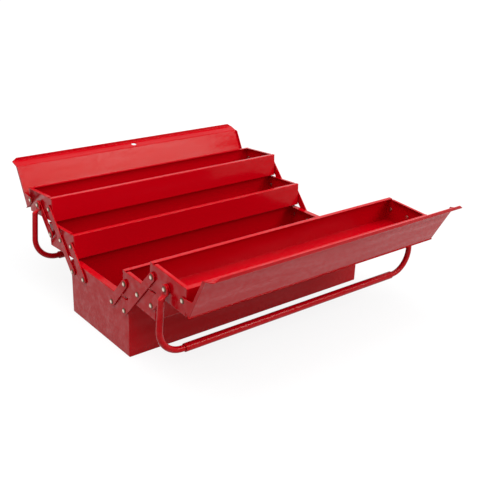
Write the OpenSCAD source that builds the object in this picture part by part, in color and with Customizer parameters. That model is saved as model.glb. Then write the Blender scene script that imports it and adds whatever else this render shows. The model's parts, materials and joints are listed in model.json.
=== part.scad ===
// Cantilever tool box in folded sheet steel, drawn open.
// A base box carries a mid tray and a top tray on each long side. Parallel riveted arms
// swing each pair of trays outwards. Each top tray carries a hinged lid and a bail handle.
// Millimetres, +Z up, X along the box. The origin is the middle of the base's underside.
// The back half (+Y) and the front half (-Y) are mirror images.

/* [Base] */
// Length of the base and of the trays, along X
box_l = 530; // [420:1:640]
// Depth of the base, along Y
box_d = 200; // [180:1:240]
// Height of the base, floor to rim
base_h = 104; // [80:0.5:130]
// Width of the flange folded inwards along the base's end rims
base_end_rim = 12; // [6:0.5:18]
// Width of the flange folded inwards along the base's long rims
base_side_rim = 8; // [5:0.5:14]
// Thickness of the folded sheet
sheet = 1.2; // [0.8:0.1:1.6]

/* [Trays] */
// Height of each tray, floor to rim
tray_h = 46; // [40:0.5:60]
// Width of the flange folded inwards along a tray's end rims
tray_end_rim = 6; // [4:0.5:10]
// Width of the flange folded inwards along a tray's long rims
tray_side_rim = 8; // [4:0.5:12]
// Gap from a closed tray to the middle plane, and to the plane of the base's outer face
close_gap = 1; // [0.6:0.1:2]
// Height of the closed mid trays above the base's rim
base_gap = 4; // [2:0.1:6]
// Height of the closed top trays above the mid trays' rims
tray_gap = 2; // [1.5:0.1:4]
// Rise of the open arms beyond a tray's height
open_lift = 0.3; // [0.2:0.1:1.5]
// Outward sag of the open mid trays, in degrees
mid_droop = 3; // [0:0.1:4]
// Outward sag of the open top trays, in degrees
top_droop = 4.2; // [0:0.1:5]

/* [Arms] */
// Width of an arm
arm_w = 15; // [12:0.5:18]
// Thickness of an arm
arm_t = 2; // [1.5:0.1:3]
// Inset of the long arm's rivet from the base's outer face
base_rivet_inset = 9.5; // [9:0.1:11]
// Inset of the first rivet from the mid tray's inner face
first_rivet_inset = 9; // [8.5:0.1:10]
// Inset of the last rivet from the mid tray's outer face
last_rivet_inset = 8; // [7.6:0.1:10]
// Depth of a tray's rivets below its rim
rivet_drop = 22; // [18:0.5:26]

/* [Rivets] */
// Diameter of a rivet's shank
rivet_d = 4; // [3:0.1:5]
// Diameter of a rivet's outer head
head_d = 9.4; // [8:0.1:10.6]
// Height of a rivet's outer head
head_h = 2.4; // [1.6:0.1:3]
// Diameter of the head inside the wall
inner_head_d = 7; // [6:0.1:9]
// Height of the head inside the wall
inner_head_h = 1.2; // [0.8:0.1:2]
// Diameter of the washer between a wall and what turns on it
washer_d = 9; // [8:0.1:12]
// Thickness of that washer
washer_t = 0.8; // [0.5:0.1:1.5]
// Radial clearance of a working pivot
pivot_fit = 0.05; // [0.02:0.01:0.1]
// Clearance at each side of a piece that turns on a rivet
side_fit = 0.1; // [0.05:0.01:0.3]
// Clearance between two pieces that turn on the same rivet
stack_gap = 0.4; // [0.3:0.1:1]
// Radial play in the loose end of a short arm
arm_play = 1.25; // [1.1:0.05:1.4]

/* [Lids] */
// Gap between a closed lid and its tray's rim
lid_gap = 2; // [0.8:0.1:4]
// Gap between a lid's outer skirt and its tray
skirt_gap = 0.6; // [0.5:0.1:2]
// Depth of the flanges folded down round a lid
lid_skirt = 6; // [3:0.5:8]
// Length along the skirt that a lid's ear grows from
ear_l = 28; // [20:0.5:40]
// Radius of a lid's ear round its rivet
ear_r = 6; // [5.5:0.1:8]
// Run of the ridge that rises along a lid's inner edge
ridge_run = 13.6; // [8:0.2:16]
// Height of that ridge
ridge_rise = 14.2; // [12:0.2:18]
// Run of the lip from the ridge's crest to the lid's inner edge
lip_run = 6; // [4:0.2:8]
// Drop of the lip from the crest
lip_drop = 2.2; // [0:0.1:3]
// Length that the slanting notch takes off each end of the lip
lip_notch = 9.5; // [2:0.5:15]
// Length of the padlock slot in the ridge
slot_l = 11; // [10:0.5:16]
// Width of the padlock slot, along the slope of the ridge
slot_w = 9; // [5:0.5:9.5]
// Lean of the open lids from upright, in degrees
lid_open = 28; // [20:0.5:32]

/* [Handles] */
// Diameter of the handle's rod
rod_d = 10.5; // [9:0.5:12]
// Diameter of the grip, a tube round the handle's bar
grip_d = 14; // [13:0.5:16]
// Length of the grip
grip_l = 470; // [300:2:474]
// Distance from the handle's rivets to the middle of its bar
handle_reach = 110; // [104:0.5:118]
// Distance from the base's end face out to a leg's middle line
leg_out = 15.2; // [15:0.1:18]
// Bend radius of the rod's middle line
bend_r = 42; // [24:0.5:50]
// Thickness of the flattened end round the rivet
eye_t = 3; // [2:0.1:4]
// Width of the flattened end
eye_w = 16; // [13:0.5:18]
// Distance from the rivet to where the flattened end has become the round rod
crank_l = 16; // [14:0.5:26]

/* [Hidden] */
$fn = 64;
hull_fn = 32;
overcut = 1;
red = [0.69, 0.01, 0.07];
silver = [0.80, 0.78, 0.75];

half_l = box_l/2;
rivet_r = rivet_d/2;
pivot_r = rivet_r + pivot_fit;
tray_d = box_d/2 - 2*close_gap;

// Layers outwards from an end wall
arm_x = half_l + washer_t + side_fit;
eye_x = arm_x + arm_t + stack_gap;
arm_stack = washer_t + arm_t + 2*side_fit;
ear_stack = washer_t + sheet + 2*side_fit;
eye_stack = washer_t + arm_t + eye_t + stack_gap + 2*side_fit;
lid_half = arm_x + sheet;
leg_x = half_l + leg_out;

// Rivets in a tray's ends, as distances from its inner face and its underside
rivet_lift = tray_h - rivet_drop;
rivet_pitch = (tray_d - first_rivet_inset - last_rivet_inset)/2;
mid_u = [for (i = [0:2]) first_rivet_inset + i*rivet_pitch];

// Rivets in the base, as [y, z] on the back side
closed_rise = tray_h + tray_gap;
base_outer = [box_d/2 - base_rivet_inset, base_h + base_gap + rivet_lift - closed_rise];
base_inner = base_outer - [rivet_pitch, 0];

// The arms closed: each tray's inner face stands close_gap from the middle plane
closed_run = base_outer[0] - mid_u[1] - close_gap;
closed_step = [-closed_run, closed_rise];
arm_span = norm(closed_step);
top_u = [for (i = [0:2]) base_outer[0] - 2*closed_run - close_gap + i*rivet_pitch];

// The arms open
open_rise = tray_h + open_lift;
open_step = [sqrt(arm_span*arm_span - open_rise*open_rise), open_rise];
mid_pivot = base_outer + open_step;
top_pivot = mid_pivot + open_step;

// A row of rivets sags with its tray about the long arm's rivet
function sag(v, droop) = [v[0]*cos(droop) + v[1]*sin(droop), v[1]*cos(droop) - v[0]*sin(droop)];
mid_first = mid_pivot + sag([-rivet_pitch, 0], mid_droop);
mid_last = mid_pivot + sag([rivet_pitch, 0], mid_droop);
top_middle = top_pivot + sag([rivet_pitch, 0], top_droop);
top_last = top_pivot + sag([2*rivet_pitch, 0], top_droop);

// A short arm is as long as the mean of its open and closed spans
function reach_of(p, q) = (norm(q - p) + arm_span)/2;
function along(p, q, d) = p + d*(q - p)/norm(q - p);
lower_end = along(base_inner, mid_first, reach_of(base_inner, mid_first));
upper_end = along(mid_last, top_middle, reach_of(mid_last, top_middle));

// A lid's section in its closed position about its rivet, as [y, z] with the middle plane at -Y
lid_in = top_u[2];
lid_out = tray_d - top_u[2] + skirt_gap + sheet;
lid_rise = rivet_drop + lid_gap + sheet;
ridge_foot = lid_in - ridge_run - lip_run;
lid_path = [
    [lid_out, lid_rise - lid_skirt],
    [lid_out, lid_rise],
    [-ridge_foot, lid_rise],
    [-ridge_foot - ridge_run, lid_rise + ridge_rise],
    [-lid_in, lid_rise + ridge_rise - lip_drop]
];
skirt_z = lid_rise - lid_skirt;
ridge_slope = atan2(ridge_rise, ridge_run);

// ---- Placing ----

module on_back() {
    children();
}

module on_front() {
    mirror([0, 1, 0]) children();
}

module on_right() {
    children();
}

module on_left() {
    mirror([1, 0, 0]) children();
}

module on_both_ends() {
    on_right() children();
    on_left() children();
}

// Moves a tray drawn from its inner lower edge so that rivet u sits on the pivot
module on_pivot(pivot, u, droop) {
    translate([0, pivot[0], pivot[1]])
        rotate([-droop, 0, 0])
            translate([0, -u, -rivet_lift])
                children();
}

module at_mid() {
    on_pivot(mid_pivot, mid_u[1], mid_droop) children();
}

module at_top() {
    on_pivot(top_pivot, top_u[0], top_droop) children();
}

// ---- Pieces that repeat ----

// An open box folded from sheet, with its rims folded inwards; its inner long face lies on Y = 0
module folded_box(depth, height, end_rim, side_rim) {
    mouth_l = box_l - 2*end_rim;
    mouth_d = depth - 2*side_rim;
    difference() {
        translate([-half_l, 0, 0]) cube([box_l, depth, height]);
        translate([sheet - half_l, sheet, sheet])
            cube([box_l - 2*sheet, depth - 2*sheet, height - 2*sheet]);
        translate([-mouth_l/2, side_rim, sheet]) cube([mouth_l, mouth_d, height]);
    }
}

// A hole through both end walls
module end_hole(y, z, r) {
    translate([0, y, z]) rotate([0, 90, 0]) cylinder(h = box_l + 2*overcut, r = r, center = true);
}

// A rivet through the right-hand end wall, with stack between the wall and its outer head
module rivet(y, z, stack) {
    dome_r = (head_d*head_d/4 + head_h*head_h)/(2*head_h);
    translate([half_l, y, z]) rotate([0, 90, 0]) {
        translate([0, 0, -sheet - inner_head_h]) cylinder(h = inner_head_h, d = inner_head_d);
        translate([0, 0, -sheet]) cylinder(h = sheet + stack, d = rivet_d);
        translate([0, 0, stack]) rotate_extrude() intersection() {
            translate([0, head_h - dome_r]) circle(r = dome_r);
            square([head_d/2, head_h]);
        }
    }
}

// The washer on a rivet, against the right-hand end wall
module washer(y, z) {
    translate([half_l, y, z]) rotate([0, 90, 0]) difference() {
        cylinder(h = washer_t, d = washer_d);
        translate([0, 0, -overcut]) cylinder(h = washer_t + 2*overcut, r = pivot_r);
    }
}

// A flat bar with round ends from p to q, in the layer of the arms
module flat_bar(p, q) {
    step = q - p;
    translate([arm_x, p[0], p[1]]) rotate([atan2(step[1], step[0]), 0, 0]) {
        translate([0, 0, -arm_w/2]) cube([arm_t, norm(step), arm_w]);
        rotate([0, 90, 0]) cylinder(h = arm_t, d = arm_w);
        translate([0, norm(step), 0]) rotate([0, 90, 0]) cylinder(h = arm_t, d = arm_w);
    }
}

// A hole through the layer of the arms
module arm_hole(p, r) {
    translate([arm_x - overcut, p[0], p[1]])
        rotate([0, 90, 0])
            cylinder(h = arm_t + 2*overcut, r = r);
}

module long_arm() {
    color(red) difference() {
        flat_bar(base_outer, top_pivot);
        arm_hole(base_outer, pivot_r);
        arm_hole(mid_pivot, pivot_r);
        arm_hole(top_pivot, pivot_r);
    }
}

// A short arm turns on p, and its far end rides loosely on the rivet near q
module short_arm(p, q) {
    color(red) difference() {
        flat_bar(p, q);
        arm_hole(p, pivot_r);
        arm_hole(q, rivet_r + arm_play);
    }
}

module lower_arm() {
    short_arm(base_inner, lower_end);
}

module upper_arm() {
    short_arm(mid_last, upper_end);
}

// ---- Base ----

module base_box() {
    color(red) difference() {
        translate([0, -box_d/2, 0]) folded_box(box_d, base_h, base_end_rim, base_side_rim);
        for (y = [base_inner[0], base_outer[0]]) {
            end_hole(y, base_outer[1], rivet_r);
            end_hole(-y, base_outer[1], rivet_r);
        }
    }
}

module base_rivets() {
    color(silver) on_both_ends()
        for (y = [base_inner[0], base_outer[0]]) {
            rivet(y, base_outer[1], arm_stack);
            rivet(-y, base_outer[1], arm_stack);
        }
}

module base_washers() {
    color(silver) on_both_ends()
        for (y = [base_inner[0], base_outer[0]]) {
            washer(y, base_outer[1]);
            washer(-y, base_outer[1]);
        }
}

// ---- Trays ----

module tray(rivets_u) {
    color(red) difference() {
        folded_box(tray_d, tray_h, tray_end_rim, tray_side_rim);
        for (u = rivets_u) end_hole(u, rivet_lift, rivet_r);
    }
}

module mid_tray() {
    at_mid() tray(mid_u);
}

module mid_rivets() {
    color(silver) at_mid() on_both_ends()
        for (u = mid_u) rivet(u, rivet_lift, arm_stack);
}

module mid_washers() {
    color(silver) at_mid() on_both_ends()
        for (u = mid_u) washer(u, rivet_lift);
}

module top_tray() {
    at_top() tray(top_u);
}

module top_rivets() {
    color(silver) at_top() on_both_ends() rivet(top_u[0], rivet_lift, arm_stack);
}

module handle_rivets() {
    color(silver) at_top() on_both_ends() rivet(top_u[1], rivet_lift, eye_stack);
}

module lid_rivets() {
    color(silver) at_top() on_both_ends() rivet(top_u[2], rivet_lift, ear_stack);
}

module top_washers() {
    color(silver) at_top() on_both_ends()
        for (u = top_u) washer(u, rivet_lift);
}

// ---- Lids ----

function unit(v) = v/norm(v);
function left_of(v) = [-v[1], v[0]];
function segment_normal(path, i) = left_of(unit(path[i + 1] - path[i]));
function join_normal(a, b) = (a + b)/(1 + a*b);
function point_normal(path, i) =
    i == 0 ? segment_normal(path, 0)
    : i == len(path) - 1 ? segment_normal(path, i - 1)
    : join_normal(segment_normal(path, i - 1), segment_normal(path, i));

// The outline of sheet bent along path, with its thickness to the left
function bent_sheet(path, t) = concat(
    path,
    [for (i = [len(path) - 1:-1:0]) path[i] + t*point_normal(path, i)]
);

// The point where a line from p touches a circle of radius r round the origin
function touch_point(p, r, turn) =
    let (a = atan2(p[1], p[0]) + turn*acos(r/norm(p)))
    r*[cos(a), sin(a)];

// Extrudes a [y, z] outline along X from x, over length l
module along_x(x, l) {
    translate([x, 0, 0]) rotate([90, 0, 90]) linear_extrude(l) children();
}

// The end flange of a lid with its ear, about the rivet
module lid_end() {
    inner_foot = [lid_out - ear_l, skirt_z];
    outer_foot = [lid_out, skirt_z];
    along_x(lid_half - sheet, sheet) {
        translate([-ridge_foot, skirt_z]) square([ridge_foot + lid_out, lid_skirt]);
        circle(r = ear_r);
        polygon([
            outer_foot,
            inner_foot,
            touch_point(inner_foot, ear_r, 1),
            [0, 0],
            touch_point(outer_foot, ear_r, -1)
        ]);
    }
}

// Cuts the slanting notch off the right-hand end of the lip
module lip_cut() {
    translate([0, 0, lid_rise]) linear_extrude(ridge_rise + overcut)
        polygon([
            [lid_half, lip_run - lid_in],
            [lid_half - lip_notch, -lid_in],
            [lid_half - lip_notch, -lid_in - overcut],
            [lid_half + overcut, -lid_in - overcut],
            [lid_half + overcut, lip_run - lid_in]
        ]);
}

// The padlock slot through the middle of the ridge, square to its slope
module padlock_slot() {
    flat = slot_l - slot_w;
    middle = (lid_path[2] + lid_path[3])/2;
    translate([0, middle[0], middle[1]])
        rotate([-ridge_slope, 0, 0])
            for (x = [-flat/2, flat/2])
                translate([x, 0, 0]) cylinder(h = 4*sheet, d = slot_w, center = true);
    translate([0, middle[0], middle[1]])
        rotate([-ridge_slope, 0, 0])
            cube([flat, slot_w, 4*sheet], center = true);
}

module lid() {
    color(red)
        translate([0, top_last[0], top_last[1]]) rotate([-90 - lid_open, 0, 0])
            difference() {
                union() {
                    along_x(-lid_half, 2*lid_half) polygon(bent_sheet(lid_path, sheet));
                    on_both_ends() lid_end();
                }
                on_both_ends() lip_cut();
                padlock_slot();
                rotate([0, 90, 0]) cylinder(h = 2*lid_half + 2*overcut, r = pivot_r, center = true);
            }
}

// ---- Handles ----

// Half of the handle, hanging from its rivet at the origin
module handle_half() {
    leg_end = handle_reach - bend_r;
    bar_end = leg_x - bend_r;
    rod_r = rod_d/2;
    neck_z = -eye_w/2 + overcut;
    difference() {
        union() {
            translate([eye_x, 0, 0]) rotate([0, 90, 0]) cylinder(h = eye_t, d = eye_w);
            translate([eye_x, -eye_w/2, neck_z]) cube([eye_t, eye_w, -neck_z]);
            hull() {
                translate([eye_x, -eye_w/2, neck_z]) cube([eye_t, eye_w, overcut]);
                translate([leg_x, 0, -crank_l]) cylinder(h = overcut, r = rod_r, $fn = hull_fn);
            }
        }
        translate([eye_x - overcut, 0, 0])
            rotate([0, 90, 0])
                cylinder(h = eye_t + 2*overcut, r = pivot_r);
    }
    translate([leg_x, 0, -leg_end]) cylinder(h = leg_end - crank_l, r = rod_r);
    translate([bar_end, 0, -leg_end]) rotate([-90, 0, 0])
        rotate_extrude(angle = 90) translate([bend_r, 0]) circle(r = rod_r);
    translate([0, 0, -handle_reach]) rotate([0, 90, 0]) cylinder(h = bar_end, r = rod_r);
}

module handle() {
    color(red) translate([0, top_middle[0], top_middle[1]]) on_both_ends() handle_half();
}

// The grip, a tube that sits on the handle's bar
module grip() {
    color(red)
        translate([-grip_l/2, top_middle[0], top_middle[1] - handle_reach])
            rotate([0, 90, 0])
                difference() {
                    cylinder(h = grip_l, d = grip_d);
                    translate([0, 0, -overcut]) cylinder(h = grip_l + 2*overcut, r = rod_d/2 + pivot_fit);
                }
}

// ---- Nodes ----

base_box();
base_rivets();
base_washers();
on_front() mid_tray();  // front_mid_tray
on_front() mid_rivets();  // front_mid_rivets
on_front() mid_washers();  // front_mid_washers
on_back() mid_tray();  // back_mid_tray
on_back() mid_rivets();  // back_mid_rivets
on_back() mid_washers();  // back_mid_washers
on_front() top_tray();  // front_top_tray
on_front() top_rivets();  // front_top_rivets
on_front() top_washers();  // front_top_washers
on_back() top_tray();  // back_top_tray
on_back() top_rivets();  // back_top_rivets
on_back() top_washers();  // back_top_washers
on_front() handle_rivets();  // front_handle_rivets
on_front() lid_rivets();  // front_lid_rivets
on_back() handle_rivets();  // back_handle_rivets
on_back() lid_rivets();  // back_lid_rivets
on_front() on_left() long_arm();  // front_left_long_arm
on_front() on_left() lower_arm();  // front_left_lower_arm
on_front() on_left() upper_arm();  // front_left_upper_arm
on_front() on_right() long_arm();  // front_right_long_arm
on_front() on_right() lower_arm();  // front_right_lower_arm
on_front() on_right() upper_arm();  // front_right_upper_arm
on_back() on_left() long_arm();  // back_left_long_arm
on_back() on_left() lower_arm();  // back_left_lower_arm
on_back() on_left() upper_arm();  // back_left_upper_arm
on_back() on_right() long_arm();  // back_right_long_arm
on_back() on_right() lower_arm();  // back_right_lower_arm
on_back() on_right() upper_arm();  // back_right_upper_arm
on_front() lid();  // front_lid
on_back() lid();  // back_lid
on_front() handle();  // front_handle
on_back() handle();  // back_handle
on_front() grip();  // front_grip
on_back() grip();  // back_grip
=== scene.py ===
# %% [markdown]
# # A cantilever tool box in red enamel
#
# The box is sheet steel, cut flat, folded, riveted and dipped in red enamel. A base carries two
# trays on each long side, and riveted arms swing them out. Each top tray has a lid and a handle.
#
# The model's frame is loaded first. It gives the place of every pivot and the outer size of every
# piece. A size that isn't read from it is given a name before the code that uses it.

# %% Load the frame
import json

import bmesh
import bpy
import numpy as np
from mathutils import Matrix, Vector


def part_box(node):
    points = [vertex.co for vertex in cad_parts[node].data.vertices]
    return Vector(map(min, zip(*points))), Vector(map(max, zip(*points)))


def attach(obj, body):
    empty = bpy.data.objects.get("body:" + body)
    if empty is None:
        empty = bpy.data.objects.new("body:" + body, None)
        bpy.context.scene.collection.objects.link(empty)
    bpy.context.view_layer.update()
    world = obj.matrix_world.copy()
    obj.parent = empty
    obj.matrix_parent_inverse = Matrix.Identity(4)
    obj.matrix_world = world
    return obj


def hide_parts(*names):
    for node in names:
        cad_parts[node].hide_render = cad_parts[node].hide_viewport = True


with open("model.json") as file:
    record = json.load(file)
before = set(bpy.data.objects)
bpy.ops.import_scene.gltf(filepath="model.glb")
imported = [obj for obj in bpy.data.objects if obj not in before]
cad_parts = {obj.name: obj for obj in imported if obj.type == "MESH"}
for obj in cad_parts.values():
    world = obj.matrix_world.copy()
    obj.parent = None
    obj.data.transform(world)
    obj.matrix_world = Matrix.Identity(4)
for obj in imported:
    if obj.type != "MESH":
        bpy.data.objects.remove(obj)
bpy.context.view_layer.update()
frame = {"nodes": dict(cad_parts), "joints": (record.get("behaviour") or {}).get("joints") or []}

pivots = {joint["name"]: np.array(joint["pos_m"]) for joint in frame["joints"]}
print(len(frame["nodes"]), "nodes,", len(pivots), "pivots")

# %% [markdown]
# ## The sheet and its folds
#
# Every blank of steel has the same thickness. The base, the trays and the lids each ask for their
# own width of fold. Only the lids get it: the Bevel's Clamp Overlap, further down, holds the
# others to 1.5 millimetres. Those few numbers shape all of them. The base's length, depth and
# height are read from the frame, and so is all that follows from them.

# %% Sizes of the sheet and of the folded boxes, in metres
SHEET = 0.0012
LID_FOLD = 0.0011
BASE_FOLD = 0.0028
TRAY_FOLD = 0.0020
HEM = 0.00035
BASE_RIMS = (0.012, 0.008)
TRAY_RIMS = (0.006, 0.008)
BASE_SLIT = 0.0030
TRAY_SLIT = 0.0045
CLOSED_SLIT = 0.0003
CLOSE_GAP = 0.001

base_low, base_high = (np.array(corner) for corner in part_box("base_box"))
BOX_LENGTH = base_high[0] - base_low[0]
BASE_DEPTH = base_high[1] - base_low[1]
BASE_HEIGHT = base_high[2] - base_low[2]
TRAY_DEPTH = BASE_DEPTH/2 - 2*CLOSE_GAP
TRAY_HEIGHT = 0.046
print("base", np.round([BOX_LENGTH, BASE_DEPTH, BASE_HEIGHT], 4), "tray depth", TRAY_DEPTH)

# %% [markdown]
# ## From arrays to a mesh
#
# A patch is a pair of arrays: points of shape (n, 3), and faces as lists of point numbers. Most
# patches here are grids. A grid is a surface with two parameters: its rows follow one and its
# columns follow the other, so one formula gives every point at once. A grid that goes round a
# tube closes on itself, and the last column is joined to the first.

# %% Grids, lids for their ends, and the mesh itself
def grid(points, wrap=False):
    """The patch of a (rows, columns, 3) array. Face (i, j) joins point (i, j) to its neighbours
    (i, j + 1), (i + 1, j + 1) and (i + 1, j). With wrap the last column meets the first."""
    rows, columns = points.shape[:2]
    across = columns if wrap else columns - 1
    i, j = np.meshgrid(np.arange(rows - 1), np.arange(across), indexing="ij")
    here, below, after = i*columns, (i + 1)*columns, (j + 1) % columns
    faces = np.stack([here + j, here + after, below + after, below + j], -1)
    return points.reshape(-1, 3), faces.reshape(-1, 4).tolist()


def join(*patches):
    """Several patches as one: each one's faces count on from the points before it."""
    points, faces, start = [], [], 0
    for some, theirs in patches:
        points.append(some)
        faces += [[start + k for k in face] for face in theirs]
        start += len(some)
    return np.concatenate(points), faces


def moved(patch, place):
    """The patch after place, a function that takes and gives an (n, 3) array. Faces are turned
    round if place mirrors, which the sign of its determinant tells."""
    points, faces = patch
    axes = place(np.eye(3)) - place(np.zeros((3, 3)))
    if np.linalg.det(axes) < 0:
        faces = [face[::-1] for face in faces]
    return place(points), faces


def mesh_object(name, patch, material, weld=1e-6):
    """The patch as a smooth-shaded object at the origin. Points closer than weld become one."""
    mesh = bpy.data.meshes.new(name)
    mesh.from_pydata(patch[0].tolist(), [], patch[1])
    solid = bmesh.new()
    solid.from_mesh(mesh)
    bmesh.ops.remove_doubles(solid, verts=solid.verts, dist=weld)
    solid.to_mesh(mesh)
    solid.free()
    mesh.shade_smooth()
    mesh.materials.append(material)
    obj = bpy.data.objects.new(name, mesh)
    bpy.context.scene.collection.objects.link(obj)
    return obj


# %% [markdown]
# ## Modifiers that finish a sheet
#
# A real fold isn't a sharp line, and a cut edge isn't razor sharp after painting. So each sheet
# is first a surface with no thickness. A Bevel rounds its folds, Solidify gives it its thickness
# inwards, and a second, finer Bevel is there to ease the cut edges. Clamp Overlap holds a Bevel
# to the room at its tightest corner. The base and the trays have room for folds of 1.5
# millimetres and for no ease at all, so their cut edges stay sharp. The lids have room for their
# whole fold, but for only about a hundredth of a millimetre of ease. Hardened normals keep the
# flat panels flat in the light, all but a few of their corners, so that the folds catch the
# highlights.

# %% Round, thicken and ease
FOLD_STEPS = 4
HEM_STEPS = 2
FOLD_ANGLE = 18
CUT_ANGLE = 50
NORMAL_WEIGHT = 100


def bevel(obj, name, width, steps, angle):
    """Rounds every edge that turns by more than angle degrees."""
    ease = obj.modifiers.new(name, "BEVEL")
    ease.width = width
    ease.segments = steps
    ease.limit_method = "ANGLE"
    ease.angle_limit = np.radians(angle)
    ease.harden_normals = True
    ease.use_clamp_overlap = True


def fold_and_thicken(obj, fold):
    """Rounds the folds, thickens the sheet on its inner side and eases its cut edges, each as far
    as Clamp Overlap leaves room."""
    bevel(obj, "folds", fold, FOLD_STEPS, FOLD_ANGLE)
    wall = obj.modifiers.new("sheet", "SOLIDIFY")
    wall.thickness = SHEET
    wall.offset = -1
    wall.use_even_offset = True
    bevel(obj, "hems", HEM, HEM_STEPS, CUT_ANGLE)


def even_light(obj):
    """Weights each point's normal by the area of its faces, so that most panels stay flat."""
    obj.modifiers.new("normals", "WEIGHTED_NORMAL").weight = NORMAL_WEIGHT


# %% [markdown]
# ## Red enamel
#
# The finish is a thick, glossy stoving enamel. Three things make it more than a flat colour. The
# film flows before it sets, so its surface is faintly pebbled, like the peel of an orange. The
# thin panels under it are never quite flat, which bends every reflection. And handling leaves it
# smeared in patches. The first two share one node group and the third has its own, so every red
# piece uses the same two groups, and only the strengths differ.

# %% Node groups that the finishes share
def node_group(name, inputs, outputs):
    """An empty shader group with float or colour sockets, and its input and output nodes."""
    group = bpy.data.node_groups.new(name, "ShaderNodeTree")
    for label, kind, value in inputs:
        socket = group.interface.new_socket(label, in_out="INPUT", socket_type=kind)
        if value is not None:
            socket.default_value = value
    for label, kind in outputs:
        group.interface.new_socket(label, in_out="OUTPUT", socket_type=kind)
    return group, group.nodes.new("NodeGroupInput"), group.nodes.new("NodeGroupOutput")


def noise(tree, scale, detail, where):
    """A noise texture that reads the positions at the socket where."""
    texture = tree.nodes.new("ShaderNodeTexNoise")
    texture.inputs["Scale"].default_value = scale
    texture.inputs["Detail"].default_value = detail
    tree.links.new(where, texture.inputs["Vector"])
    return texture.outputs["Fac"]


def bump(tree, height, strength, distance, normal=None):
    """A Bump node whose height, strength and distance are sockets or numbers."""
    node = tree.nodes.new("ShaderNodeBump")
    for label, value in (("Height", height), ("Strength", strength), ("Distance", distance)):
        if isinstance(value, float):
            node.inputs[label].default_value = value
        else:
            tree.links.new(value, node.inputs[label])
    if normal is not None:
        tree.links.new(normal, node.inputs["Normal"])
    return node.outputs["Normal"]


def map_range(tree, value, low, high, most=1.0):
    """A number that goes from 0 to most as the socket value goes from low to high."""
    node = tree.nodes.new("ShaderNodeMapRange")
    node.inputs["From Min"].default_value = low
    node.inputs["From Max"].default_value = high
    node.inputs["To Max"].default_value = most
    tree.links.new(value, node.inputs["Value"])
    return node.outputs["Result"]


def make_film_relief():
    """Normal of a film over thin sheet: long waves in the panel, then a fine orange peel."""
    group, source, sink = node_group(
        "film_relief",
        [("Position", "NodeSocketVector", None),
         ("Wave", "NodeSocketFloat", 0.5), ("Peel", "NodeSocketFloat", 0.2)],
        [("Normal", "NodeSocketVector")],
    )
    wave = noise(group, PANEL_WAVES, WAVE_DETAIL, source.outputs["Position"])
    peel = noise(group, PEEL_PEBBLES, PEEL_DETAIL, source.outputs["Position"])
    waved = bump(group, wave, source.outputs["Wave"], WAVE_HEIGHT)
    pebbled = bump(group, peel, source.outputs["Peel"], PEEL_HEIGHT, waved)
    group.links.new(pebbled, sink.inputs["Normal"])
    return group


def make_handling():
    """Mask of handled patches, from 0 clean to 1 dull: broad smudges, drawn out along the box and
    multiplied by fine scuffs."""
    group, source, sink = node_group(
        "handling", [("Position", "NodeSocketVector", None), ("Amount", "NodeSocketFloat", 0.5)],
        [("Mask", "NodeSocketFloat")],
    )
    drawn_out = group.nodes.new("ShaderNodeVectorMath")
    drawn_out.operation = "MULTIPLY"
    drawn_out.inputs[1].default_value = SMUDGE_STRETCH
    group.links.new(source.outputs["Position"], drawn_out.inputs[0])
    smudge = noise(group, SMUDGES, SMUDGE_DETAIL, drawn_out.outputs["Vector"])
    scuff = noise(group, SCUFFS, SCUFF_DETAIL, source.outputs["Position"])
    both = group.nodes.new("ShaderNodeMath")
    both.operation = "MULTIPLY"
    group.links.new(smudge, both.inputs[0])
    group.links.new(scuff, both.inputs[1])
    spread = map_range(group, both.outputs[0], CLEAN_BELOW, DULL_ABOVE)
    scaled = group.nodes.new("ShaderNodeMath")
    scaled.operation = "MULTIPLY"
    group.links.new(spread, scaled.inputs[0])
    group.links.new(source.outputs["Amount"], scaled.inputs[1])
    group.links.new(scaled.outputs[0], sink.inputs["Mask"])
    return group


PANEL_WAVES, WAVE_DETAIL, WAVE_HEIGHT = 9.0, 1.0, 0.0015
PEEL_PEBBLES, PEEL_DETAIL, PEEL_HEIGHT = 700.0, 2.0, 0.0002
SMUDGES, SMUDGE_DETAIL = 60.0, 3.0
SMUDGE_STRETCH = (0.08, 1.0, 1.0)
SCUFFS, SCUFF_DETAIL = 160.0, 4.0
CLEAN_BELOW, DULL_ABOVE = 0.18, 0.42

film_relief = make_film_relief()
handling = make_handling()
print("shared groups:", film_relief.name, "and", handling.name)

# %% [markdown]
# The materials put those groups to work. Colours are written as they look on a screen and turned
# into the linear values that a shader needs. The enamel's index of refraction is low, because the
# red would look milky wherever it mirrors the white room, and a warm tint keeps what it mirrors
# from turning pink. Where the box has been handled, a weak second coat lies on top and shows as
# long pale streaks in a low light.

# %% Enamel and steel
def linear(red, green, blue):
    """A screen colour from 0 to 255 as the shader's linear red, green, blue and alpha. By the
    sRGB standard that is s/12.92 near black and ((s + 0.055)/1.055) to the power 2.4 above."""
    screen = np.array([red, green, blue])/255
    low, high = screen/12.92, ((screen + 0.055)/1.055)**2.4
    return (*np.where(screen > 0.04045, high, low).tolist(), 1.0)


def new_material(name):
    """A material with a Principled BSDF and a Texture Coordinate node, as the four values
    (material, tree, shader, place), of which place is the socket of the object's own positions."""
    material = bpy.data.materials.new(name)
    material.use_nodes = True
    tree = material.node_tree
    shader = tree.nodes["Principled BSDF"]
    place = tree.nodes.new("ShaderNodeTexCoord").outputs["Object"]
    return material, tree, shader, place


def use_group(tree, group, place, **values):
    """A group node in this material, reading place, with its other inputs set."""
    node = tree.nodes.new("ShaderNodeGroup")
    node.node_tree = group
    tree.links.new(place, node.inputs["Position"])
    for label, value in values.items():
        node.inputs[label].default_value = value
    return node


# Places of A, B and the result among a Mix node's sockets, which share their names
COLOUR_SOCKETS = (6, 7, 2)
NUMBER_SOCKETS = (2, 3, 0)


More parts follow.
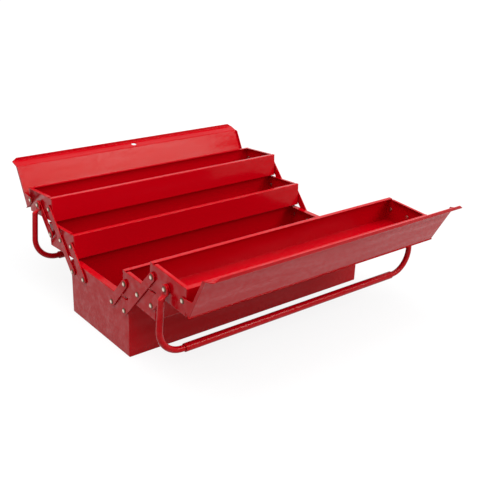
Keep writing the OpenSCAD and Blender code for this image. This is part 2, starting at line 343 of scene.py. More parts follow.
def blend_by(tree, mask, first, second, socket):
    """Feeds socket a mix of two colours, or of two numbers, by a mask."""
    mix = tree.nodes.new("ShaderNodeMix")
    colour = isinstance(first, tuple)
    mix.data_type = "RGBA" if colour else "FLOAT"
    a, b, result = COLOUR_SOCKETS if colour else NUMBER_SOCKETS
    mix.inputs[a].default_value = first
    mix.inputs[b].default_value = second
    tree.links.new(mask, mix.inputs[0])
    tree.links.new(mix.outputs[result], socket)


def enamel(name, fresh, thin, gloss, dull, wave, peel):
    """Glossy enamel. Its colour runs from fresh to thin. By the handling mask its roughness runs
    from gloss to dull, and its second coat from none to POLISH."""
    material, tree, shader, place = new_material(name)
    relief = use_group(tree, film_relief, place, Wave=wave, Peel=peel)
    marks = use_group(tree, handling, place, Amount=1.0)
    depth = noise(tree, *PAINT_DEPTHS, place)
    blend_by(tree, depth, fresh, thin, shader.inputs["Base Color"])
    blend_by(tree, marks.outputs["Mask"], gloss, dull, shader.inputs["Roughness"])
    blend_by(tree, marks.outputs["Mask"], 0.0, POLISH, shader.inputs["Coat Weight"])
    shader.inputs["Coat IOR"].default_value = POLISH_IOR
    shader.inputs["Coat Roughness"].default_value = dull
    tree.links.new(relief.outputs["Normal"], shader.inputs["Normal"])
    shader.inputs["IOR"].default_value = ENAMEL_IOR
    shader.inputs["Specular Tint"].default_value = WARM_GLOSS
    return material


def steel(name, bright, dark, polished, dull, painted_shade_start):
    """Plated steel. Fine mottling darkens it by MOTTLE_MOST at most. The piece's own rim attribute
    is 0 in the middle of a head and 1 at its rim. From a given start on, the colour darkens towards
    the rim: painted shade and a painted dark reflection round the edge of each head."""
    material, tree, shader, place = new_material(name)
    mottle = noise(tree, *MOTTLE, place)
    rim = tree.nodes.new("ShaderNodeAttribute")
    rim.attribute_name = "rim"
    spots = map_range(tree, mottle, *MOTTLE_LIMITS, MOTTLE_MOST)
    # Painted shade and a painted dark reflection: the colour darkens towards the rim of each head
    edge = map_range(tree, rim.outputs["Fac"], painted_shade_start, painted_shade_start + PAINTED_SHADE_FADE)
    both = tree.nodes.new("ShaderNodeMath")
    both.operation = "MAXIMUM"
    tree.links.new(spots, both.inputs[0])
    tree.links.new(edge, both.inputs[1])
    blend_by(tree, both.outputs[0], bright, dark, shader.inputs["Base Color"])
    blend_by(tree, both.outputs[0], polished, dull, shader.inputs["Roughness"])
    shader.inputs["Metallic"].default_value = 1.0
    tree.links.new(bump(tree, mottle, *MOTTLE_RELIEF), shader.inputs["Normal"])
    return material


ENAMEL_IOR = 1.18
POLISH = 0.6
POLISH_IOR = 1.3
WARM_GLOSS = (1.0, 0.84, 0.68, 1.0)
# (scale, detail) of the paint's changes in depth, and of the steel's mottling
PAINT_DEPTHS = (5.0, 2.0)
MOTTLE = (900.0, 3.0)
MOTTLE_LIMITS = (0.35, 0.75)
MOTTLE_MOST = 0.35
# (strength, distance) of the mottling's bump
MOTTLE_RELIEF = (0.15, 0.0001)
# Share of a head's radius over which the painted shade at its rim comes in
PAINTED_SHADE_FADE = 0.45

FRESH_RED = linear(178, 0, 15)
panel_red = enamel("panel_red", FRESH_RED, linear(168, 0, 13),
                   gloss=0.14, dull=0.26, wave=0.5, peel=0.12)
tube_red = enamel("tube_red", FRESH_RED, linear(166, 0, 13),
                  gloss=0.12, dull=0.24, wave=0.1, peel=0.15)
# The dark colour is the steel's own mottling, and also painted shade round the rim of each head and
# washer
rivet_steel = steel("rivet_steel", linear(232, 214, 196), linear(92, 62, 50),
                    polished=0.24, dull=0.5, painted_shade_start=0.34)
washer_steel = steel("washer_steel", linear(140, 128, 118), linear(84, 60, 50),
                     polished=0.35, dull=0.55, painted_shade_start=0.8)
print("finishes:", [m.name for m in (panel_red, tube_red, rivet_steel, washer_steel)])

# %% [markdown]
# ## Where things are
#
# Every tray hangs from a row of rivets, and the frame gives the pivot of each joint. Two of them
# on one tray say how it leans: the line between them runs along the tray's end, and the tray's
# own upright stands square to that line. A point drawn in the tray's own axes is then carried to
# its place by one product with those axes. On the front side the axes form a mirror image, and
# the faces are turned round so that they still point outwards.

# %% Axes of the trays and the lids
TRAY_PIVOT_DROP = 0.022
MID_PIVOT_INSET = 0.009
TOP_PIVOT_INSET = 0.0095
SIDES = {"front": -1, "back": 1}
ENDS = {"left": -1, "right": 1}
HALF_LENGTH = BOX_LENGTH/2


def unit(v):
    """v at length 1."""
    return v/np.linalg.norm(v)


def carrier(origin, axes, local=(0, 0, 0)):
    """The map from a piece's own axes to the frame's: origin + (p - local) times the axes."""
    return lambda p: origin + (p - np.array(local)) @ np.array(axes)


def tray_axes(side, first, second):
    """Length, outward and up axes of the tray whose end carries these two pivots."""
    outward = unit(pivots[f"{side}_{second}"] - pivots[f"{side}_{first}"])
    up = SIDES[side]*np.array([0, -outward[2], outward[1]])
    return np.array([1.0, 0, 0]), outward, up


def rivet_row(side):
    """Centres of the rivets on one side, from the inner one outwards, as {tray: [points]}. The mid
    tray's inner rivet is no joint of the frame: it is the outer one's mirror image."""
    lower, fold, mid, upper, top, handle, lid = (pivots[f"{side}_{name}"] for name in (
        "lower_arm_turn", "fold", "mid_tray_turn", "upper_arm_turn",
        "top_tray_turn", "handle_turn", "lid_turn"))
    return {"base": [lower, fold], "mid": [2*mid - upper, mid, upper], "top": [top, handle, lid]}


rows = {side: rivet_row(side) for side in SIDES}
pitch = np.linalg.norm(rows["back"]["top"][1] - rows["back"]["top"][0])
print("rivets stand", round(pitch*1000, 2), "mm apart")

# %% [markdown]
# ## Base and trays
#
# All five are the same idea: a rectangle of sheet with its four sides folded up and a rim folded
# inwards along each. The long rims run the full length. The end rims fit between them, and the
# end walls step down beside them, so a dark slit shows where the blank was notched before it was
# folded. On the trays only the inner slits are open. Only a few flat faces say all of this, and
# the modifiers above do the rest.

# %% A folded box
STEP_CLEARANCE = 0.0003


def points_at(xs, ys, zs):
    """Every combination of the given x, y and z, with z running fastest."""
    return [[x, y, z] for x in xs for y in ys for z in zs]


def numbered(*shapes):
    """Nested lists of point numbers, one for each shape, counting on from one to the next."""
    starts = np.cumsum([0] + [np.prod(shape) for shape in shapes])
    return [(start + np.arange(np.prod(shape))).reshape(shape).tolist()
            for start, shape in zip(starts, shapes)]


def folded_box(length, depth, height, rims, slits):
    """Outer skin of an open box, its inner long wall on y = 0 and its floor on z = 0. rims are
    the widths of the end and side rims, and slits the gaps beside the end rims at the two long
    walls. Beside a slit the end wall steps down by a sheet's thickness and a little more."""
    end_rim, side_rim = rims
    half = length/2
    step = height - SHEET - STEP_CLEARANCE
    ends, walls = (-half, half), (0, depth)
    slit_ys = (side_rim + slits[0], depth - side_rim - slits[1])
    points = np.array([
        *points_at(ends, walls, (0, step, height)),
        *points_at(ends, slit_ys, (step, height)),
        *points_at(ends, (side_rim, depth - side_rim), (height,)),
        *points_at((end_rim - half, half - end_rim), slit_ys, (height,)),
    ])
    corner, stair, long_edge, end_edge = numbered((2, 2, 3), (2, 2, 2), (2, 2), (2, 2))

    faces = [[corner[0][0][0], corner[0][1][0], corner[1][1][0], corner[1][0][0]]]
    for wall in (0, 1):
        (low_l, step_l, top_l), (low_r, step_r, top_r) = corner[0][wall], corner[1][wall]
        ring = [low_l, low_r, step_r, top_r, top_l, step_l]
        rim = [top_l, top_r, long_edge[1][wall], long_edge[0][wall]]
        faces += [ring, rim] if wall == 0 else [ring[::-1], rim[::-1]]
    for end in (0, 1):
        (low_a, step_a, _), (low_b, step_b, _) = corner[end]
        (foot_a, head_a), (foot_b, head_b) = stair[end]
        ring = [low_a, low_b, step_b, foot_b, head_b, head_a, foot_a, step_a]
        rim = [head_a, head_b, end_edge[end][1], end_edge[end][0]]
        faces += [ring, rim] if end == 1 else [ring[::-1], rim[::-1]]
    return points, faces


def dress(obj, body, slot, *nodes):
    """Puts a finished piece on its body in place of its CAD nodes. Its slot is not used."""
    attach(obj, body)
    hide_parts(*nodes)
    print(obj.name, len(obj.data.polygons), "faces, rides on", body)


def make_folded_box(name, patch, fold, body, node):
    """A folded box as a finished piece."""
    obj = mesh_object(name, patch, panel_red)
    fold_and_thicken(obj, fold)
    even_light(obj)
    dress(obj, body, "red_paint", node)


base_patch = folded_box(BOX_LENGTH, BASE_DEPTH, BASE_HEIGHT, BASE_RIMS, (BASE_SLIT, BASE_SLIT))
place = carrier(np.zeros(3), np.eye(3), (0, BASE_DEPTH/2, 0))
make_folded_box("base_shell", moved(base_patch, place), BASE_FOLD, "base", "base_box")

# %% The four trays
TRAY_PIVOT_HEIGHT = TRAY_HEIGHT - TRAY_PIVOT_DROP
tray_patch = folded_box(BOX_LENGTH, TRAY_DEPTH, TRAY_HEIGHT, TRAY_RIMS, (TRAY_SLIT, CLOSED_SLIT))

for side in SIDES:
    mid_axes = tray_axes(side, "mid_tray_turn", "upper_arm_turn")
    top_axes = tray_axes(side, "top_tray_turn", "handle_turn")
    mid_local = (0, MID_PIVOT_INSET + pitch, TRAY_PIVOT_HEIGHT)
    top_local = (0, TOP_PIVOT_INSET, TRAY_PIVOT_HEIGHT)
    mid_place = carrier(rows[side]["mid"][1], mid_axes, mid_local)
    top_place = carrier(rows[side]["top"][0], top_axes, top_local)
    for tray, place in (("mid_tray", mid_place), ("top_tray", top_place)):
        make_folded_box(f"{side}_{tray}_shell", moved(tray_patch, place), TRAY_FOLD,
                        f"{side}_{tray}_unit", f"{side}_{tray}")

# %% [markdown]
# ## Lids
#
# A lid is one long panel. Skirts fold down round its outer edge and its ends, and each end skirt
# grows into an ear that turns on the last rivet of the tray. Along the inner edge the sheet rises
# as a ridge and ends in a lip, so that the two lids meet over the middle of the closed box. A
# slot through the ridge takes a padlock.
#
# The lid is drawn level, in axes that start at its rivet and run outwards and up. It stands open
# when those axes are turned by a quarter turn and its lean from upright.

# %% The lid's section and its ear
LID_OPEN = 28.0
LID_RISE = 0.0252
LID_OUT = 0.0093
LID_SKIRT = 0.006
EAR_RADIUS = 0.006
EAR_FOOT = 0.028
RIDGE_FOOT = -0.0709
RIDGE_TOP = (-0.0845, 0.0394)
LIP_EDGE = (-0.0905, 0.0372)
LIP_NOTCH = 0.0095
SKIRT_CHAMFER = 0.003
SLOT_LENGTH = 0.011
SLOT_WIDTH = 0.009
PIVOT_HOLE = 0.00205
ARC_STEPS = 24

LID_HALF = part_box("back_lid")[1][0]


def arc(radius, start, end, steps=ARC_STEPS):
    """Points (radius cos a, radius sin a), with the angle a in even steps from start to end, in
    degrees."""
    a = np.radians(np.linspace(start, end, steps + 1))
    return radius*np.stack([np.cos(a), np.sin(a)], -1)


def touch(foot, turn):
    """Angle in degrees at which a line from foot touches the ear's circle: the foot's own bearing
    plus or minus the arc cosine of radius over distance."""
    bearing = np.degrees(np.arctan2(foot[1], foot[0]))
    return bearing + turn*np.degrees(np.arccos(EAR_RADIUS/np.hypot(*foot)))


def lid_end():
    """Two faces of (y, z) points for the end skirt with its ear, split above and below its rivet,
    so that each one runs round half of the rivet's hole."""
    skirt_z = LID_RISE - LID_SKIRT
    outer, inner = np.array([LID_OUT, skirt_z]), np.array([LID_OUT - EAR_FOOT, skirt_z])
    start, end = touch(inner, 1), touch(outer, -1) + 360
    rim = arc(EAR_RADIUS, start, end, 2*ARC_STEPS)
    left, right = arc(EAR_RADIUS, 180, 180, 0), arc(EAR_RADIUS, 360, 360, 0)
    angles = np.linspace(start, end, 2*ARC_STEPS + 1)
    upper_left = rim[angles < 180]
    lower = rim[(angles > 180) & (angles < 360)]
    upper_right = rim[angles > 360]
    over_hole = arc(PIVOT_HOLE, 0, 180)
    under_hole = arc(PIVOT_HOLE, 180, 360)
    top = [[RIDGE_FOOT, LID_RISE], [RIDGE_FOOT + SKIRT_CHAMFER, skirt_z], inner, *upper_left,
           *left, *over_hole[::-1], *right, *upper_right, outer, [LID_OUT, LID_RISE]]
    bottom = [*left, *lower, *right, *under_hole[::-1]]
    return np.array(top), np.array(bottom)


def loop(points_3d):
    """One face that runs through all the points in order."""
    points = np.asarray(points_3d, dtype=float)
    return points, [list(range(len(points)))]


def at_x(x, outline):
    """(y, z) points as (x, y, z) points, all at the same x."""
    return np.column_stack([np.full(len(outline), x), outline])


def lid_skin():
    """Outer skin of a closed lid about its rivet, in (x, y, z): panel, skirts, ridge and lip."""
    foot, crest, edge = (RIDGE_FOOT, LID_RISE), RIDGE_TOP, LIP_EDGE
    hem = (LID_OUT, LID_RISE - LID_SKIRT)
    fold = (LID_OUT, LID_RISE)
    h, short = LID_HALF, LID_HALF - LIP_NOTCH
    skirt = loop([[h, *hem], [-h, *hem], [-h, *fold], [h, *fold]][::-1])
    panel = loop([[-h, *foot], [0, *foot], [h, *foot], [h, *fold], [-h, *fold]])
    lip = loop([[-short, *edge], [short, *edge], [h, *crest], [0, *crest], [-h, *crest]])
    run = np.array(crest) - np.array(foot)
    slope, middle = unit(run), np.linalg.norm(run)/2
    slot_end = arc(SLOT_WIDTH/2, -90, 90) + [(SLOT_LENGTH - SLOT_WIDTH)/2, 0]
    slot = np.concatenate([[[0, -SLOT_WIDTH/2]], slot_end, [[0, SLOT_WIDTH/2]]])
    half = np.array([[0, 0], *(slot + [0, middle]), [0, 2*middle], [h, 2*middle], [h, 0]])
    right = np.column_stack([half[:, 0], foot + half[:, 1:]*slope])
    ridge = join(loop(right), loop(right[::-1]*[-1, 1, 1]))
    ends = []
    for face in lid_end():
        ends += [loop(at_x(h, face)), loop(at_x(-h, face)[::-1])]
    return join(skirt, panel, lip, ridge, *ends)


def lid_axes(side):
    """Length, inward-to-outward and up axes of an open lid. Those of a level lid are the side's
    own, and it stands open when they are turned about the length by a quarter turn and the lean."""
    lean = np.radians(90 + LID_OPEN)
    outward = np.array([0, SIDES[side]*np.cos(lean), -np.sin(lean)])
    up = np.array([0, SIDES[side]*np.sin(lean), np.cos(lean)])
    return np.array([1.0, 0, 0]), outward, up


for side in SIDES:
    place = carrier(rows[side]["top"][2], lid_axes(side))
    lid = mesh_object(f"{side}_lid_panel", moved(lid_skin(), place), panel_red)
    fold_and_thicken(lid, LID_FOLD)
    even_light(lid)
    dress(lid, f"{side}_lid_unit", "red_paint", f"{side}_lid")

# %% [markdown]
# ## Arms
#
# The arms are flat bar with round ends. Each is a thin plate that is split along its own middle
# line, so that each half can run round one side of every hole. The plate is thickened like the
# sheet, and here a Bevel has room to ease the cut edges in full. A short arm's far hole is loose
# on its rivet, because the arms and the trays make a closed loop that the frame opens there.

# %% Flat bars
ARM_WIDTH = 0.015
ARM_THICKNESS = 0.002
ARM_OUT = 0.0009
ARM_HEM = 0.0004
SHANK_RADIUS = 0.002
ARM_PLAY = 0.00125
LOOSE_HOLE = SHANK_RADIUS + ARM_PLAY


def flat_bar(p, q, holes):
    """Two faces that make the flat bar from p to q, in (y, z). holes are pairs of a distance from
    p and a radius."""
    span = np.linalg.norm(q - p)
    holes = sorted(holes)
    middle = [[-ARM_WIDTH/2, 0]]
    for distance, radius in holes:
        middle += [*(arc(radius, 180, 0) + [distance, 0])]
    middle += [[span + ARM_WIDTH/2, 0]]
    round_end = arc(ARM_WIDTH/2, 0, 90)[1:] + [span, 0]
    round_start = arc(ARM_WIDTH/2, 90, 180)[:-1]
    half = np.array([*middle, *round_end, *round_start])
    along = (q - p)/span
    square = np.array([-along[1], along[0]])
    upper = p + half[:, :1]*along + half[:, 1:]*square
    lower = p + half[:, :1]*along - half[:, 1:]*square
    return upper, lower[::-1]


def arm(name, end, p, q, holes, body):
    """A flat bar in the layer outside one end of the trays, as a finished piece."""
    faces = flat_bar(p[1:], q[1:], holes)
    x = ENDS[end]*(HALF_LENGTH + ARM_OUT + ARM_THICKNESS)
    patch = join(*(loop(at_x(x, face)) for face in faces))
    if patch_facing(patch)*ENDS[end] < 0:
        patch = patch[0], [face[::-1] for face in patch[1]]
    obj = mesh_object(name, patch, panel_red)
    plate = obj.modifiers.new("plate", "SOLIDIFY")
    plate.thickness = ARM_THICKNESS
    plate.offset = -1
    bevel(obj, "hems", ARM_HEM, HEM_STEPS, CUT_ANGLE)
    even_light(obj)
    dress(obj, body, "red_paint", name.removesuffix("_bar"))


def patch_facing(patch):
    """Twice the area that the patch shows towards +x: the sum of y dz - z dy round its faces."""
    total = 0.0
    for face in patch[1]:
        y, z = patch[0][face][:, 1], patch[0][face][:, 2]
        total += np.sum(y*np.roll(z, -1) - z*np.roll(y, -1))
    return total


def span_between(p, q):
    """Distance between two pivots."""
    return np.linalg.norm(q - p)


for side in SIDES:
    base_row, mid_row, top_row = rows[side].values()
    reach = span_between(base_row[1], mid_row[1])
    to_top = span_between(base_row[1], top_row[0])
    short_arms = (("lower", base_row[0], mid_row[0]), ("upper", mid_row[2], top_row[1]))
    for end in ENDS:
        arm(f"{side}_{end}_long_arm_bar", end, base_row[1], top_row[0],
            [(0, PIVOT_HOLE), (reach, PIVOT_HOLE), (to_top, PIVOT_HOLE)], f"{side}_long_arms")
        for name, p, q in short_arms:
            length = (span_between(p, q) + reach)/2
            far = p + unit(q - p)*length
            arm(f"{side}_{end}_{name}_arm_bar", end, p, far,
                [(0, PIVOT_HOLE), (length, LOOSE_HOLE)], f"{side}_{name}_arms")

# %% [markdown]
# ## Rivets and washers
#
# A rivet is a turned shape: a low dome outside, a shank through the stack, and a flat head inside
# the wall. One profile is carried round an axis to make it, and copies of it stand at every
# pivot. A washer is a small turned ring that keeps the arms off the paint.

# %% Turned shapes
TURN_STEPS = 40
HEAD_RADIUS = 0.0047
HEAD_HEIGHT = 0.0024
HEAD_EASE = (0.0001, 0.0002)
DOME_STEPS = 8
DOME_CROWDING = 1.5
INNER_HEAD = (0.0035, 0.0012)
INNER_EASE = ((0, 0.0005), (0.0002, 0.00015), (0.0005, 0))
WASHER = (0.0045, 0.0008)
WASHER_EASE = 0.00015
ARM_STACK = 0.003
EAR_STACK = 0.0022
EYE_STACK = 0.0064


def lathe(profile):
    """The profile's (distance along x, radius) points carried round the x axis in even steps."""
    a = np.linspace(0, 2*np.pi, TURN_STEPS, endpoint=False)
    along, radius = np.asarray(profile).T
    ring = np.stack([np.zeros_like(a), np.cos(a), np.sin(a)], -1)
    points = along[:, None, None]*np.array([1.0, 0, 0]) + radius[:, None, None]*ring
    return grid(points, wrap=True)


def rivet_profile(stack):
    """From the inner head's middle to the dome's top. The dome is an arc of a circle whose radius
    is (r squared + h squared)/2h, for a head of radius r and height h. Its rows crowd towards its
    foot. The ease of a head is a list of steps along the axis and in from its rim."""
    ball = (HEAD_RADIUS**2 + HEAD_HEIGHT**2)/(2*HEAD_HEIGHT)
    height = np.linspace(0, 1, DOME_STEPS + 1)**DOME_CROWDING*HEAD_HEIGHT
    dome = np.sqrt(np.maximum(ball**2 - (height + ball - HEAD_HEIGHT)**2, 0))
    r, t = INNER_HEAD
    foot = -SHEET - t
    inner = [(foot, 0), *((foot + along, r - inwards) for along, inwards in INNER_EASE),
             (-SHEET, r), (-SHEET, SHANK_RADIUS)]
    up, inwards = HEAD_EASE
    outer = [(stack, SHANK_RADIUS), (stack, HEAD_RADIUS - inwards), (stack + up, HEAD_RADIUS)]
    return inner + outer + list(zip(stack + height[1:], dome[1:]))


def washer_profile():
    """Round the section of a washer and back to its start, with eased outer edges."""
    (r, t), ease = WASHER, WASHER_EASE
    return [(0, PIVOT_HOLE), (0, r - ease), (ease, r), (t - ease, r), (t, r - ease),
            (t, PIVOT_HOLE), (0, PIVOT_HOLE)]


def at_both_ends(patch, centres):
    """Copies of a patch on the outer faces of both end walls, at each centre."""
    copies = []
    for centre in centres:
        for sign in ENDS.values():
            origin = np.array([sign*HALF_LENGTH, centre[1], centre[2]])
            copies.append(moved(patch, carrier(origin, np.diag([sign, 1.0, 1.0]))))
    return join(*copies)


def fastener(name, patch, centres, material, body, node):
    """Copies of one turned shape as a finished piece. Its rim attribute is each point's distance
    from the axis of its own rivet, in head radii, and the steel paints shade by it towards the rim."""
    obj = mesh_object(name, at_both_ends(patch, centres), material)
    points = np.empty(3*len(obj.data.vertices))
    obj.data.vertices.foreach_get("co", points)
    across = points.reshape(-1, 1, 3)[..., 1:] - np.array(centres)[:, 1:]
    rim = np.linalg.norm(across, axis=-1).min(axis=1)/HEAD_RADIUS
    values = obj.data.attributes.new("rim", "FLOAT", "POINT").data
    values.foreach_set("value", rim.astype(np.float32))
    even_light(obj)
    dress(obj, body, "rivet_steel", node)


arm_rivet, ear_rivet, eye_rivet = (
    lathe(rivet_profile(stack)) for stack in (ARM_STACK, EAR_STACK, EYE_STACK))
ring = lathe(washer_profile())
base_centres = rows["front"]["base"] + rows["back"]["base"]
fastener("base_rivet_set", arm_rivet, base_centres, rivet_steel, "base", "base_rivets")
fastener("base_washer_set", ring, base_centres, washer_steel, "base", "base_washers")

for side in SIDES:
    mid, top = rows[side]["mid"], rows[side]["top"]
    for name, patch, centres, material, tray in (
        ("mid_rivet", arm_rivet, mid, rivet_steel, "mid"),
        ("mid_washer", ring, mid, washer_steel, "mid"),
        ("top_washer", ring, top, washer_steel, "top"),
        ("top_rivet", arm_rivet, top[:1], rivet_steel, "top"),
        ("handle_rivet", eye_rivet, top[1:2], rivet_steel, "top"),
        ("lid_rivet", ear_rivet, top[2:], rivet_steel, "top"),
    ):
        fastener(f"{side}_{name}_set", patch, centres, material,
                 f"{side}_{tray}_tray_unit", f"{side}_{name}s")

# %% [markdown]
# ## Handles
#
# A handle is one length of round rod. Its ends are pressed flat and pierced for the rivet, and
# just below the flat each leg is cranked outwards, to clear the arms. The legs lean in a little
# towards the box, and two wide bends lead into the bar. Here a section is carried along the
# rod's middle line. In the flat the section is a slot shape with half-round ends. Over the crank
# each of its points slides to its own place on the circle, across the flat sooner than through
# its thickness, so that the neck is slim.

# %% A section that goes from flat to round
ROD_RADIUS = 0.00525
HANDLE_REACH = 0.110
LEG_OUT = 0.0152
LEG_LEAN = np.radians(4)
BEND_RADIUS = 0.042
EYE_HALF_THICKNESS = 0.0015
EYE_HALF_WIDTH = 0.008
EYE_OUT = 0.0033
EYE_X = HALF_LENGTH + EYE_OUT + EYE_HALF_THICKNESS
FLAT_END = -0.0075
CRANK_END = -0.0155
NECK = 0.45
QUARTER = 8
CRANK_ROWS, LEG_ROWS, BEND_ROWS, BAR_ROWS = 21, 9, 22, 6
ROD_WELD = 1e-5


def flat_section():
    """4*QUARTER points (x, y) round a slot shape: a straight front, a half circle, a straight back
    and a half circle, each in as many steps."""
    straight = EYE_HALF_WIDTH - EYE_HALF_THICKNESS
    y = np.linspace(-straight, straight, QUARTER + 1)[:-1]
    front = np.stack([np.full(QUARTER, EYE_HALF_THICKNESS), y], -1)
    turn = arc(EYE_HALF_THICKNESS, 0, 180, QUARTER)[:-1] + [0, straight]
    return np.concatenate([front, turn, -front, -turn])


def round_section():
    """The same number of points on the circle, with the front's quarter centred on +x."""
    return arc(ROD_RADIUS, -45, 315, 4*QUARTER)[:-1]


def smooth(t):
    """Three t squared minus two t cubed: from 0 to 1 with level ends."""
    return t*t*(3 - 2*t)


def half_rod():
    """Rows of section points from the eye's foot to the middle of the bar, about the rivet. The
    middle line is a list of (x, z, a). Each section stands square to it, with its own x axis
    turned by a: it is level at the eye, follows the leg's lean, and turns down round the bend."""
    bend_x, bend_z = HALF_LENGTH + LEG_OUT - BEND_RADIUS, BEND_RADIUS - HANDLE_REACH
    a = np.linspace(-LEG_LEAN, np.pi/2, BEND_ROWS)
    bend = np.stack([bend_x + BEND_RADIUS*np.cos(a), bend_z - BEND_RADIUS*np.sin(a), a], -1)
    leg_length = (CRANK_END - bend[0, 1])/np.cos(LEG_LEAN)
    leg_top = bend[0] + [-leg_length*np.sin(LEG_LEAN), leg_length*np.cos(LEG_LEAN), 0]
    t = np.linspace(0, 1, CRANK_ROWS)[:, None]
    eye_foot = np.array([EYE_X, FLAT_END, 0])
    crank = eye_foot + (leg_top - eye_foot)*np.hstack([smooth(t), t, smooth(t)])
    leg = np.linspace(leg_top, bend[0], LEG_ROWS)[1:-1]
    bar = np.linspace(bend[-1], [0, -HANDLE_REACH, np.pi/2], BAR_ROWS)[1:]
    line = np.concatenate([crank, leg, bend, bar])
    shape = np.broadcast_to(round_section(), (len(line), 4*QUARTER, 2)).copy()
    thicken, narrow = smooth(t), smooth(np.minimum(t/NECK, 1))
    slide = np.stack([thicken, narrow], -1)
    shape[:len(t)] = flat_section() + slide*(round_section() - flat_section())
    x, z, a = line.T[..., None]
    return np.stack([x + np.cos(a)*shape[..., 0], shape[..., 1], z - np.sin(a)*shape[..., 0]], -1)


def eye_plate():
    """The flat round the rivet: a front and a back face, each in two halves round the hole, the
    hole's wall, and a rim that carries a half circle round the outline."""
    straight = EYE_HALF_WIDTH - EYE_HALF_THICKNESS
    side = np.array([[straight, FLAT_END]])
    crown = np.concatenate([side, arc(straight, 0, 180), -side*[1, -1]])
    out = np.concatenate([[[1, 0]], arc(1, 0, 180), [[-1, 0]]])
    foot_y = np.linspace(-straight, straight, QUARTER + 1)
    foot = np.column_stack([foot_y, np.full(QUARTER + 1, FLAT_END)])
    right_hole, left_hole = arc(PIVOT_HOLE, -90, 90), arc(PIVOT_HOLE, 90, 270)
    n = len(crown)//2
    right = np.array([*foot[QUARTER//2:], *crown[1:n + 1], *right_hole[::-1]])
    left = np.array([*foot[:QUARTER//2 + 1], *left_hole[::-1], *crown[n:-1]])
    faces = []
    for half in (right, left):
        faces.append(loop(at_x(EYE_X + EYE_HALF_THICKNESS, half)))
        faces.append(loop(at_x(EYE_X - EYE_HALF_THICKNESS, half)[::-1]))
    roll = np.radians(np.linspace(90, -90, QUARTER + 1))
    swell = EYE_HALF_THICKNESS*np.cos(roll)
    rim_x = np.broadcast_to(EYE_X + EYE_HALF_THICKNESS*np.sin(roll), (len(crown), QUARTER + 1))
    rim = np.stack([rim_x, crown[:, :1] + out[:, :1]*swell, crown[:, 1:] + out[:, 1:]*swell], -1)
    hole = arc(PIVOT_HOLE, 0, 360, 2*ARC_STEPS)
    wall = np.stack([at_x(EYE_X + s*EYE_HALF_THICKNESS, hole) for s in (1, -1)])
    return join(*faces, grid(rim), grid(wall))


half = join(grid(half_rod(), wrap=True), eye_plate())
mirror_half = moved(half, lambda p: p*[-1, 1, 1])
for side in SIDES:
    place = carrier(rows[side]["top"][1], np.eye(3))
    rod = moved(join(half, mirror_half), place)
    handle = mesh_object(f"{side}_handle_rod", rod, tube_red, ROD_WELD)
    even_light(handle)
    dress(handle, f"{side}_handle_unit", "red_paint", f"{side}_handle")

# %% [markdown]
# A wider tube sits on the bar, where the hand goes. It is a turned shape like the rivets: its
# section runs along the outside, round the eased end, and back through the bore.

# %% Grips
GRIP_RADIUS = 0.007
GRIP_HALF_LENGTH = 0.235
GRIP_EASE = 0.0006
GRIP_EASE_STEPS = 4
GRIP_FIT = 0.00006


def grip_profile():
    """(Distance along x, radius) points: round one end, the long outside, the other end, the bore.
    An eased end is a quarter circle."""
    l, r, e = GRIP_HALF_LENGTH, GRIP_RADIUS, GRIP_EASE
    start = arc(e, 180, 90, GRIP_EASE_STEPS) + [e - l, r - e]
    bore = ROD_RADIUS + GRIP_FIT
    return [(-l, bore), *start, *(start[::-1]*[-1, 1]), (l, bore), (-l, bore)]


for side in SIDES:
    place = carrier(rows[side]["top"][1] - [0, 0, HANDLE_REACH], np.eye(3))
    grip = mesh_object(f"{side}_grip_tube", moved(lathe(grip_profile()), place), tube_red)
    even_light(grip)
    dress(grip, f"{side}_handle_unit", "red_paint", f"{side}_grip")

# %% [markdown]
# ## Floor and surroundings
#
# Glossy paint shows whatever stands round it. The surroundings are plain white for the camera and
# for reflections, and a middling grey for soft light from all sides. The floor does the same:
# it looks white and takes a faint shadow near the box, but gives back little more than a third of
# the light. Near the box it glows a little less, and a dull coat that takes the shadow makes up
# for it. Further out it is plain white.

# %% White for the eye and the mirror, grey for the light
def seen_directly(tree):
    """1 on camera, glossy and transmission rays, else 0."""
    path = tree.nodes.new("ShaderNodeLightPath")
    total = path.outputs["Is Camera Ray"]
    for label in ("Is Glossy Ray", "Is Transmission Ray"):
        most = tree.nodes.new("ShaderNodeMath")
        most.operation = "MAXIMUM"
        tree.links.new(total, most.inputs[0])
        tree.links.new(path.outputs[label], most.inputs[1])
        total = most.outputs[0]
    return total


AMBIENT = 0.55
FLOOR_GLOW = 0.87
FLOOR_SHADE = 0.12
FLOOR_BOUNCE = 0.38
FLOOR_NEAR = 0.5
FLOOR_FAR = 1.5
FLOOR_HALF = 6.0

world = bpy.data.worlds.new("white_room")
bpy.context.scene.world = world
world.use_nodes = True
sky = world.node_tree.nodes["Background"]
sky.inputs["Color"].default_value = (1, 1, 1, 1)
blend_by(world.node_tree, seen_directly(world.node_tree), AMBIENT, 1.0, sky.inputs["Strength"])

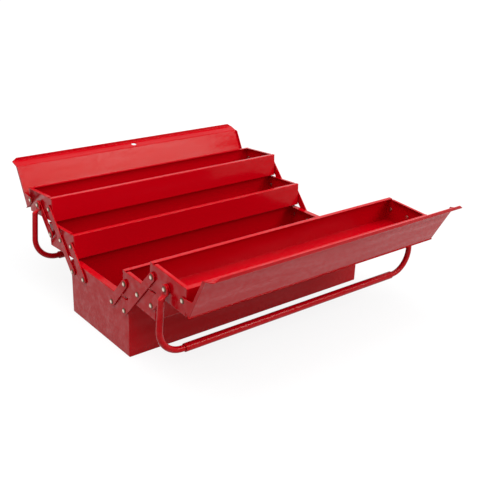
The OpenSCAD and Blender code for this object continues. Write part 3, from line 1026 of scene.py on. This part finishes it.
floor_paint = bpy.data.materials.new("pale_floor")
floor_paint.use_nodes = True
tree = floor_paint.node_tree
tree.nodes.remove(tree.nodes["Principled BSDF"])
bounce, shade = (tree.nodes.new("ShaderNodeBsdfDiffuse") for _ in range(2))
bounce.inputs["Color"].default_value = (FLOOR_BOUNCE, FLOOR_BOUNCE, FLOOR_BOUNCE, 1)
shade.inputs["Color"].default_value = (FLOOR_SHADE, FLOOR_SHADE, FLOOR_SHADE, 1)
glow = tree.nodes.new("ShaderNodeEmission")
distance = tree.nodes.new("ShaderNodeVectorMath")
distance.operation = "LENGTH"
tree.links.new(tree.nodes.new("ShaderNodeTexCoord").outputs["Object"], distance.inputs[0])
fade = map_range(tree, distance.outputs["Value"], FLOOR_NEAR, FLOOR_FAR)
blend_by(tree, fade, FLOOR_GLOW, 1.0, glow.inputs["Strength"])
add, pick = tree.nodes.new("ShaderNodeAddShader"), tree.nodes.new("ShaderNodeMixShader")
tree.links.new(shade.outputs[0], add.inputs[0])
tree.links.new(glow.outputs[0], add.inputs[1])
tree.links.new(seen_directly(tree), pick.inputs[0])
tree.links.new(bounce.outputs[0], pick.inputs[1])
tree.links.new(add.outputs[0], pick.inputs[2])
tree.links.new(pick.outputs[0], tree.nodes["Material Output"].inputs["Surface"])

f = FLOOR_HALF
floor = mesh_object("floor", loop([[-f, -f, 0], [f, -f, 0], [f, f, 0], [-f, f, 0]]), floor_paint)
print("floor", 2*FLOOR_HALF, "m square")

# %% [markdown]
# ## Soft lights
#
# One large soft box hangs over the box, a little to the front and left. A second, lower one
# stands to the front right and shows in the raised lid at the back. A weak third one, low in
# front, reaches under the open trays to the base. Each prints what it gives to a small patch at a
# distance d, which is about power/(pi d squared).

# %% Three soft boxes
def soft_box(name, position, target, size, power):
    """An area lamp of size (width, height) at position, turned to face target."""
    lamp = bpy.data.lights.new(name, "AREA")
    lamp.shape = "RECTANGLE"
    lamp.size, lamp.size_y = size
    lamp.energy = power
    obj = bpy.data.objects.new(name, lamp)
    bpy.context.scene.collection.objects.link(obj)
    offset = np.array(position) - target
    away = unit(offset)
    side_axis = unit(np.cross([0, 0, 1.0], away))
    rotation = np.eye(4)
    rotation[:3].T[:] = side_axis, np.cross(away, side_axis), away, position
    obj.matrix_world = Matrix(rotation.tolist())
    print(name, "gives about", round(power/np.pi/np.sum(offset**2), 2))


middle = np.array([0, 0, 0.12])
soft_box("overhead_box", (-0.5, -0.4, 2.2), middle, size=(2.0, 2.0), power=58)
soft_box("front_right_box", (1.31, -1.9, 1.51), middle, size=(1.25, 0.95), power=35)
soft_box("low_front_box", (-0.3, -3.0, 0.5), middle, size=(1.5, 0.6), power=3.0)

# %% [markdown]
# ## Camera
#
# The camera stands to the front left and looks down on the open trays. Its turn is written as
# three angles, and its axes follow from them.

# %% Viewing angle
CAMERA_AT = np.array([-0.83067, -1.08058, 0.68074])
YAW, PITCH, ROLL = np.radians([38.897, -22.512, 1.977])
LENS = 58.64
SENSOR = 36

ahead = np.array([np.sin(YAW)*np.cos(PITCH), np.cos(YAW)*np.cos(PITCH), np.sin(PITCH)])
level = np.array([np.cos(YAW), -np.sin(YAW), 0])
upright = np.cross(level, ahead)
right = level*np.cos(ROLL) + upright*np.sin(ROLL)
top = upright*np.cos(ROLL) - level*np.sin(ROLL)

turn = np.eye(4)
turn[:3].T[:] = right, top, -ahead, CAMERA_AT
lens = bpy.data.cameras.new("camera")
lens.lens = LENS
lens.sensor_width = SENSOR
camera = bpy.data.objects.new("camera", lens)
camera.matrix_world = Matrix(turn.tolist())
bpy.context.scene.collection.objects.link(camera)
bpy.context.scene.camera = camera
bpy.context.scene.view_settings.view_transform = "Standard"
print("camera looks along", np.round(ahead, 3))
